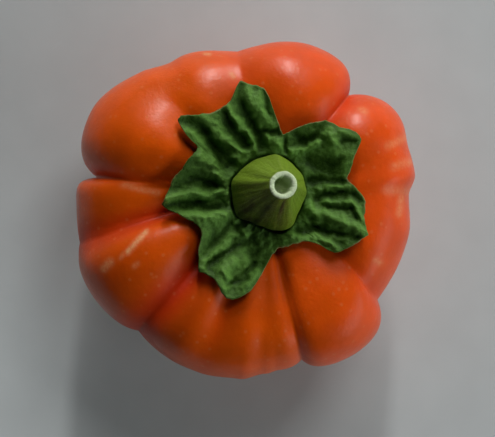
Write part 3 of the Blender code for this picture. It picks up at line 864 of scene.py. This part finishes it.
def shape_stem(fruit, settings):
    """Raise a ring to the cut end and down into its hollow, then shape it."""
    cut_radius = settings.top_radius / MM
    tall = settings.height / MM
    hollow = settings.hollow_radius / MM
    deep = settings.hollow_depth / MM
    rings = []
    for way, climb, extra in STEM_RINGS:
        radius = STEM_FOOT_RADIUS + (cut_radius - STEM_FOOT_RADIUS) * way + extra
        rings.append((radius, climb * tall))
    rings += [
        (cut_radius - 0.18, tall + 0.03),
        (hollow + 0.16, tall),
        (hollow + 0.02, tall - 0.20),
        (hollow - 0.06, tall - 0.45 * deep),
        (hollow - 0.16, tall - 0.85 * deep),
        (hollow - 0.5, tall - deep),
    ]
    piece = draw_stem(rings)
    points = mesh_points(piece)
    turn = np.arctan2(points[:, 1], points[:, 0])
    shell = np.hypot(points[:, 0], points[:, 1]) * rings[0][0]
    climb = held(points[:, 2] / tall)
    foot = stem_foot_reach(turn) / STEM_FOOT_RADIUS
    rounder = held(climb / 0.8) ** 0.8
    stretch = foot + (1.0 - foot) * rounder
    ribs = 0.0
    for height, number, start in STEM_RIBS:
        ribs = ribs + height * np.cos(number * turn + start)
    ribs = ribs * np.sin(np.pi * held(climb * 1.02)) ** 0.7
    size = shell * stretch * (1.0 + ribs)
    places = np.stack((np.cos(turn) * 2.0, np.sin(turn) * 2.0, points[:, 2] * 0.35), axis=1)
    wobble = rough_noise(places, 0.7, 9.0)
    size = size + 0.07 * wobble * held(size / 1.5)
    lean = climb ** 1.3
    base = crown_level(fruit) + LEAF_CLEARANCE + LEAF_THICKNESS + settings.clearance / MM
    cut_tilt = -0.14 * np.sin(turn) * size * held((climb - 0.8) / 0.2)
    placed = np.stack(
        (
            fruit.crown_x / MM + STEM_X + settings.lean_x / MM * lean + size * np.cos(turn),
            fruit.crown_y / MM + STEM_Y + settings.lean_y / MM * lean + size * np.sin(turn),
            base + points[:, 2] + cut_tilt,
        ),
        axis=1,
    )
    set_points(piece, placed * MM)
    inner = (points[:, 2] > tall - deep - 0.1) & (shell < hollow + 0.2)
    top = held((points[:, 2] - (tall - 0.30)) / 0.25)
    depth = held((tall - points[:, 2]) / deep)
    keep_values(piece, "cut", np.where(inner, 1.0 - 0.65 * depth, top))
    # The side turned from the light is darkened, partly as bruising and partly as painted shade;
    # the scar strip is a real mark
    aside = np.abs(turn_apart(np.degrees(turn), BRUISE_AND_SHADE[0]))
    bruise_and_shade = bell(aside, BRUISE_AND_SHADE[1], 3) * held(1.6 - climb * 1.2)
    aside = turn_apart(np.degrees(turn), STRIP[0])
    bruise_and_shade = np.maximum(bruise_and_shade, 0.9 * bell(aside, STRIP[1]) * (climb < 0.97))
    keep_values(piece, "bruise_and_shade", bruise_and_shade)
    keep_values(piece, "climb", climb)
    keep_values(piece, "side_x", 0.5 + 0.5 * np.cos(turn))
    keep_values(piece, "side_y", 0.5 + 0.5 * np.sin(turn))
    apply_modifier(piece, "SUBSURF", "Round ribs", levels=2, render_levels=2)
    return piece


def new_finish(name):
    """A material with an empty board and its shader."""
    finish = bpy.data.materials.new(name)
    finish.use_nodes = True
    tree = finish.node_tree
    tree.nodes.clear()
    output = tree.nodes.new("ShaderNodeOutputMaterial")
    output.location = (900, 0)
    shader = tree.nodes.new("ShaderNodeBsdfPrincipled")
    shader.location = (600, 0)
    tree.links.new(shader.outputs["BSDF"], output.inputs["Surface"])
    return finish, tree, shader


def add_node(tree, kind, x, y, **values):
    """Add one node and set its plain values."""
    node = tree.nodes.new(kind)
    node.location = (x, y)
    for key, value in values.items():
        setattr(node, key, value)
    return node


def feed(tree, node, inputs):
    """Link sockets to a node's inputs, or set plain values on them."""
    for name, source in inputs.items():
        if hasattr(source, "is_output"):
            tree.links.new(source, node.inputs[name])
        else:
            node.inputs[name].default_value = source


def stretch_values(tree, x, y, source, low, high, to_low=0.0, to_high=1.0):
    """Map a span of values to another, held at its ends."""
    node = add_node(tree, "ShaderNodeMapRange", x, y)
    span = {"From Min": low, "From Max": high, "To Min": to_low, "To Max": to_high}
    feed(tree, node, {"Value": source, **span})
    return node.outputs["Result"]


def mix_colours(tree, x, y, way, first, second):
    """Blend two colours by a share."""
    node = add_node(tree, "ShaderNodeMix", x, y, data_type="RGBA")
    first, second = (
        colour if hasattr(colour, "is_output") else (*colour, 1.0) for colour in (first, second)
    )
    feed(tree, node, {0: way, 6: first, 7: second})
    return node.outputs[2]


def calculate(tree, x, y, operation, first, second):
    """One sum on two values."""
    node = add_node(tree, "ShaderNodeMath", x, y, operation=operation)
    feed(tree, node, {0: first, 1: second})
    return node.outputs[0]


def read_value(tree, x, y, name):
    """Read a number kept on the points."""
    node = add_node(tree, "ShaderNodeAttribute", x, y, attribute_name=name)
    return node.outputs["Fac"]


def add_bump(tree, shader, height, strength, distance):
    """Raise the finish by a height, and hand the normal to its shader."""
    bump = add_node(tree, "ShaderNodeBump", 300, -250)
    feed(tree, bump, {"Strength": strength, "Distance": distance, "Height": height})
    feed(tree, shader, {"Normal": bump.outputs["Normal"]})


def mottle_group():
    """Cloudy and fine growth variation, shared by skin, leaf and stem."""
    group = bpy.data.node_groups.get("Growth mottle")
    if group:
        return group
    group = bpy.data.node_groups.new("Growth mottle", "ShaderNodeTree")
    for name, way in (
        ("Cloud size", "INPUT"),
        ("Grain size", "INPUT"),
        ("Cloud", "OUTPUT"),
        ("Grain", "OUTPUT"),
        ("Specks", "OUTPUT"),
    ):
        group.interface.new_socket(name, in_out=way, socket_type="NodeSocketFloat")
    start = add_node(group, "NodeGroupInput", -600, 0)
    end = add_node(group, "NodeGroupOutput", 600, 0)
    place = add_node(group, "ShaderNodeTexCoord", -600, 200)
    cloud = add_node(group, "ShaderNodeTexNoise", -200, 200)
    feed(group, cloud, {"Detail": 3.0})
    grain = add_node(group, "ShaderNodeTexNoise", -200, -60)
    feed(group, grain, {"Detail": 4.0, "Roughness": 0.6})
    speck = add_node(group, "ShaderNodeTexVoronoi", -200, -320)
    for node, size in ((cloud, "Cloud size"), (grain, "Grain size"), (speck, "Grain size")):
        feed(group, node, {"Vector": place.outputs["Object"], "Scale": start.outputs[size]})
    for node, name, y in ((cloud, "Cloud", 200), (grain, "Grain", -60)):
        spread = stretch_values(group, 100, y, node.outputs["Fac"], 0.3, 0.7)
        feed(group, end, {name: spread})
    spots = stretch_values(group, 100, -320, speck.outputs["Distance"], 0.10, 0.22, 1.0, 0.0)
    feed(group, end, {"Specks": spots})
    return group


def place_mottle(tree, x, y, cloud_size, grain_size):
    """Put the shared growth variation on a board."""
    node = add_node(tree, "ShaderNodeGroup", x, y)
    node.node_tree = mottle_group()
    feed(tree, node, {"Cloud size": cloud_size, "Grain size": grain_size})
    return node


def skin_finish(settings):
    """Waxy orange skin, redder on one side, with painted shade as a darker, deeper red in the
    grooves and in a patch at the left front.
    """
    finish, tree, shader = new_finish("waxy_skin")
    mottle = place_mottle(tree, -1100, 200, 95.0, 620.0)
    fine = place_mottle(tree, -1100, -200, 300.0, 1900.0)
    groove = read_value(tree, -1100, 500, "groove_depth")
    blush = read_value(tree, -1100, 650, "blush")
    scuff = read_value(tree, -1100, 800, "scuff")
    cloud = stretch_values(tree, -900, 400, mottle.outputs["Cloud"], 0.0, 1.0, -0.18, 0.18)
    tone = calculate(tree, -650, 600, "ADD", blush, cloud)
    skin = mix_colours(tree, -450, 600, tone, settings.ripe, settings.blush)
    # Painted shade: a patch at the left front is mixed towards the darker colour
    shaded = read_value(tree, -850, 1050, "shaded")
    shaded = calculate(tree, -650, 1000, "MULTIPLY", shaded, 0.55)
    skin = mix_colours(tree, -350, 700, shaded, skin, settings.shaded)
    # Painted shade: the grooves take the darker, deeper red groove colour, by their depth
    deep = stretch_values(tree, -650, 450, groove, 0.25, 1.0)
    skin = mix_colours(tree, -250, 500, deep, skin, settings.groove)
    shade = stretch_values(tree, -650, 250, fine.outputs["Cloud"], 0.0, 1.0, 0.90, 1.05)
    paler = add_node(tree, "ShaderNodeHueSaturation", -50, 450)
    feed(tree, paler, {"Color": skin, "Value": shade})
    grain = stretch_values(tree, -850, 900, fine.outputs["Grain"], 0.0, 1.0, 0.35, 1.2)
    patchy = calculate(tree, -650, 850, "MULTIPLY", scuff, grain)
    dots = calculate(tree, -650, 0, "MULTIPLY", mottle.outputs["Specks"], 0.10)
    marks = calculate(tree, -450, 850, "MAXIMUM", patchy, dots)
    colour = mix_colours(tree, 150, 500, marks, paler.outputs["Color"], DRY_SKIN)
    rough = stretch_values(tree, 0, 100, mottle.outputs["Grain"], 0.0, 1.0, 0.34, 0.42)
    drier = calculate(tree, 0, -20, "MULTIPLY", patchy, 0.25)
    rough = calculate(tree, 200, 100, "ADD", rough, drier)
    duller = calculate(tree, 200, -20, "MULTIPLY", deep, 0.22)
    rough = calculate(tree, 350, 100, "ADD", rough, duller)
    coat = stretch_values(tree, 350, -80, deep, 0.0, 1.0, 0.12, 0.0)
    finest = calculate(tree, -200, -300, "MULTIPLY", fine.outputs["Grain"], 0.4)
    pores = calculate(tree, 0, -250, "ADD", mottle.outputs["Grain"], finest)
    add_bump(tree, shader, pores, 0.25, 0.00012)
    feed(
        tree,
        shader,
        {
            "Base Color": colour,
            "Roughness": rough,
            "Specular IOR Level": 0.36,
            "Subsurface Weight": 0.12,
            "Subsurface Radius": (1.0, 0.30, 0.10),
            "Subsurface Scale": 0.002,
            "Coat Weight": coat,
            "Coat Roughness": 0.22,
        },
    )
    return finish


def leaf_finish(settings):
    """Leathery leaf with painted shade in the creases and round the stem's seat, painted light on
    the folds, and a dry rim.
    """
    finish, tree, shader = new_finish("leathery_leaf")
    mottle = place_mottle(tree, -1100, 200, 420.0, 2100.0)
    raised = read_value(tree, -1100, 500, "raised")
    rim = read_value(tree, -1100, 650, "rim")
    # Painted shade and light: darker in the creases, lighter on the folds
    tone = stretch_values(tree, -850, 500, raised, 0.22, 0.85)
    grain = stretch_values(tree, -850, 300, mottle.outputs["Grain"], 0.0, 1.0, -0.16, 0.16)
    cloud = stretch_values(tree, -850, 150, mottle.outputs["Cloud"], 0.0, 1.0, -0.14, 0.14)
    tone = calculate(tree, -600, 450, "ADD", tone, grain)
    tone = calculate(tree, -450, 400, "ADD", tone, cloud)
    leaf = mix_colours(tree, -250, 450, tone, settings.crease_shade, settings.light)
    dry = stretch_values(tree, -650, 700, mottle.outputs["Cloud"], 0.35, 1.0, 0.0, 0.75)
    dry = calculate(tree, -450, 650, "MULTIPLY", rim, dry)
    leaf = mix_colours(tree, 0, 450, dry, leaf, settings.rim)
    rough = stretch_values(tree, 0, 100, mottle.outputs["Grain"], 0.0, 1.0, 0.50, 0.66)
    add_bump(tree, shader, mottle.outputs["Grain"], 0.5, 0.00018)
    feed(tree, shader, {"Base Color": leaf, "Roughness": rough, "Specular IOR Level": 0.25})
    return finish


def stem_finish(settings):
    """Fibrous green stem, bruised and darkened with painted shade on one side, pale at the cut."""
    finish, tree, shader = new_finish("fibrous_stem")
    mottle = place_mottle(tree, -1100, 200, 380.0, 1800.0)
    cut = read_value(tree, -1100, 500, "cut")
    climb = read_value(tree, -1100, 650, "climb")
    side_x = read_value(tree, -1100, 800, "side_x")
    side_y = read_value(tree, -1100, 950, "side_y")
    lay = add_node(tree, "ShaderNodeCombineXYZ", -850, 800)
    for source, size, axis, y in (
        (side_x, 10.8, "X", 900),
        (side_y, 10.8, "Y", 1050),
        (climb, 1.6, "Z", 750),
    ):
        feed(tree, lay, {axis: calculate(tree, -950, y, "MULTIPLY", source, size)})
    fibre = add_node(tree, "ShaderNodeTexNoise", -650, 800)
    feed(tree, fibre, {"Scale": 1.0, "Detail": 3.0, "Vector": lay.outputs["Vector"]})
    streak = stretch_values(tree, -450, 800, fibre.outputs["Fac"], 0.35, 0.65)
    patchy = stretch_values(tree, -450, 600, mottle.outputs["Cloud"], 0.0, 1.0, 0.55, 1.0)
    # Darker on the bruised side, partly painted shade
    bruise_and_shade = read_value(tree, -650, 500, "bruise_and_shade")
    bruise_and_shade = calculate(tree, -250, 750, "MULTIPLY", bruise_and_shade, patchy)
    fainter = calculate(tree, -250, 900, "MULTIPLY", streak, 0.22)
    bruise_and_shade = calculate(tree, -150, 650, "ADD", bruise_and_shade, fainter)
    bark = mix_colours(tree, 0, 500, bruise_and_shade, settings.green, settings.shaded_bruise)
    bark = mix_colours(tree, 200, 500, cut, bark, settings.cut)
    rough = stretch_values(tree, 0, 100, mottle.outputs["Grain"], 0.0, 1.0, 0.42, 0.58)
    lines = calculate(tree, 0, -250, "ADD", streak, mottle.outputs["Grain"])
    add_bump(tree, shader, lines, 0.5, 0.00015)
    feed(tree, shader, {"Base Color": bark, "Roughness": rough, "Specular IOR Level": 0.4})
    return finish


def floor_finish(settings):
    """Pale plain floor with the least unevenness of tone."""
    finish, tree, shader = new_finish("pale_floor")
    place = add_node(tree, "ShaderNodeTexCoord", -900, 0)
    cloud = add_node(tree, "ShaderNodeTexNoise", -700, 0)
    feed(tree, cloud, {"Scale": 130.0, "Detail": 5.0, "Vector": place.outputs["Object"]})
    tone = stretch_values(tree, -500, 0, cloud.outputs["Fac"], 0.3, 0.7)
    pale = tuple(settings.floor_colour)
    duller = tuple(0.95 * value for value in pale)
    tone = mix_colours(tree, -250, 0, tone, duller, pale)
    add_bump(tree, shader, cloud.outputs["Fac"], 0.15, 0.0003)
    feed(tree, shader, {"Base Color": tone, "Roughness": 0.85})
    return finish


def add_lamp(name, azimuth, elevation, width, height, power, colour, shine):
    """A rectangular lamp that faces the fruit; shine is its share in highlights."""
    flat = LAMP_DISTANCE * math.cos(math.radians(elevation))
    place = Vector(
        (
            flat * math.cos(math.radians(azimuth)),
            flat * math.sin(math.radians(azimuth)),
            LAMP_DISTANCE * math.sin(math.radians(elevation)) + LAMP_AIM,
        )
    )
    aim = Vector((0.0, 0.0, LAMP_AIM)) - place
    for part, glossy in ((shine, True), (1.0 - shine, False)):
        if part <= 0.0:
            continue
        lamp = bpy.data.lights.new(name, "AREA")
        lamp.shape = "RECTANGLE"
        lamp.size = width
        lamp.size_y = height
        lamp.energy = power * part
        lamp.color = colour
        holder = bpy.data.objects.new(name, lamp)
        bpy.context.scene.collection.objects.link(holder)
        holder.location = place
        holder.rotation_euler = aim.to_track_quat("-Z", "Y").to_euler()
        holder.visible_glossy = glossy


class CHILLI_OT_fruit(bpy.types.Operator):
    """Grow the ribbed fruit"""

    bl_idname = "chilli.fruit"
    bl_label = "Grow fruit"

    def execute(self, context):
        settings = context.scene.chilli_fruit
        piece = shape_fruit(settings)
        finish_piece(piece, "ribbed_fruit", skin_finish(settings), "fruit")
        return {"FINISHED"}


class CHILLI_OT_calyx(bpy.types.Operator):
    """Lay the wrinkled calyx over the crown"""

    bl_idname = "chilli.calyx"
    bl_label = "Lay calyx"

    def execute(self, context):
        settings = context.scene.chilli_calyx
        piece = shape_calyx(context.scene.chilli_fruit, settings)
        finish_piece(piece, "wrinkled_calyx", leaf_finish(settings), "calyx")
        return {"FINISHED"}


class CHILLI_OT_stem(bpy.types.Operator):
    """Stand the cut stem on the calyx"""

    bl_idname = "chilli.stem"
    bl_label = "Stand stem"

    def execute(self, context):
        settings = context.scene.chilli_stem
        piece = shape_stem(context.scene.chilli_fruit, settings)
        finish_piece(piece, "cut_stem", stem_finish(settings), "stem")
        return {"FINISHED"}


class CHILLI_OT_stage(bpy.types.Operator):
    """Set the floor, the lights and the camera"""

    bl_idname = "chilli.stage"
    bl_label = "Set stage"

    def execute(self, context):
        settings = context.scene.chilli_stage
        scene = context.scene
        clear_selection()
        bpy.ops.mesh.primitive_plane_add(size=settings.floor_size)
        floor = context.active_object
        floor.name = "floor"
        floor.data.materials.append(floor_finish(settings))
        sources = {"window": settings.key_power, "room": settings.fill_power}
        for name, azimuth, elevation, width, height, source, part, colour, shine in LAMPS:
            power = part * sources[source]
            add_lamp(name, azimuth, elevation, width, height, power, colour, shine)
        world = bpy.data.worlds.new("room")
        scene.world = world
        world.use_nodes = True
        back = world.node_tree.nodes["Background"]
        back.inputs["Color"].default_value = (0.95, 0.97, 1.0, 1.0)
        back.inputs["Strength"].default_value = settings.sky
        scene.view_settings.view_transform = "Standard"
        lens = bpy.data.cameras.new("overhead")
        lens.lens = settings.lens
        lens.sensor_width = 36.0
        lens.clip_start = 0.01
        camera = bpy.data.objects.new("overhead", lens)
        scene.collection.objects.link(camera)
        camera.location = (CAMERA_X, CAMERA_Y, settings.camera_height)
        scene.camera = camera
        return {"FINISHED"}


class CHILLI_PT_panel(bpy.types.Panel):
    """Steps that build the chilli"""

    bl_idname = "CHILLI_PT_panel"
    bl_label = "Chilli"
    bl_space_type = "VIEW_3D"
    bl_region_type = "UI"
    bl_category = "Chilli"

    def draw(self, context):
        column = self.layout.column()
        for step in ("chilli.fruit", "chilli.calyx", "chilli.stem", "chilli.stage"):
            column.operator(step)
        for group in ("chilli_fruit", "chilli_calyx", "chilli_stem", "chilli_stage"):
            settings = getattr(context.scene, group)
            for name in settings.__annotations__:
                column.prop(settings, name)


CLASSES = (
    ChilliFruitSettings,
    ChilliCalyxSettings,
    ChilliStemSettings,
    ChilliStageSettings,
    CHILLI_OT_fruit,
    CHILLI_OT_calyx,
    CHILLI_OT_stem,
    CHILLI_OT_stage,
    CHILLI_PT_panel,
)


def register():
    """Register the classes and hang the settings on the scene."""
    for item in CLASSES:
        bpy.utils.register_class(item)
    bpy.types.Scene.chilli_fruit = bpy.props.PointerProperty(type=ChilliFruitSettings)
    bpy.types.Scene.chilli_calyx = bpy.props.PointerProperty(type=ChilliCalyxSettings)
    bpy.types.Scene.chilli_stem = bpy.props.PointerProperty(type=ChilliStemSettings)
    bpy.types.Scene.chilli_stage = bpy.props.PointerProperty(type=ChilliStageSettings)


def unregister():
    """Take the settings and the classes away again."""
    del bpy.types.Scene.chilli_stage
    del bpy.types.Scene.chilli_stem
    del bpy.types.Scene.chilli_calyx
    del bpy.types.Scene.chilli_fruit
    for item in reversed(CLASSES):
        bpy.utils.unregister_class(item)


def main():
    """Build every piece and set the stage."""
    register()
    bpy.ops.chilli.fruit()
    bpy.ops.chilli.calyx()
    bpy.ops.chilli.stem()
    bpy.ops.chilli.stage()


if __name__ == "__main__":
    main()
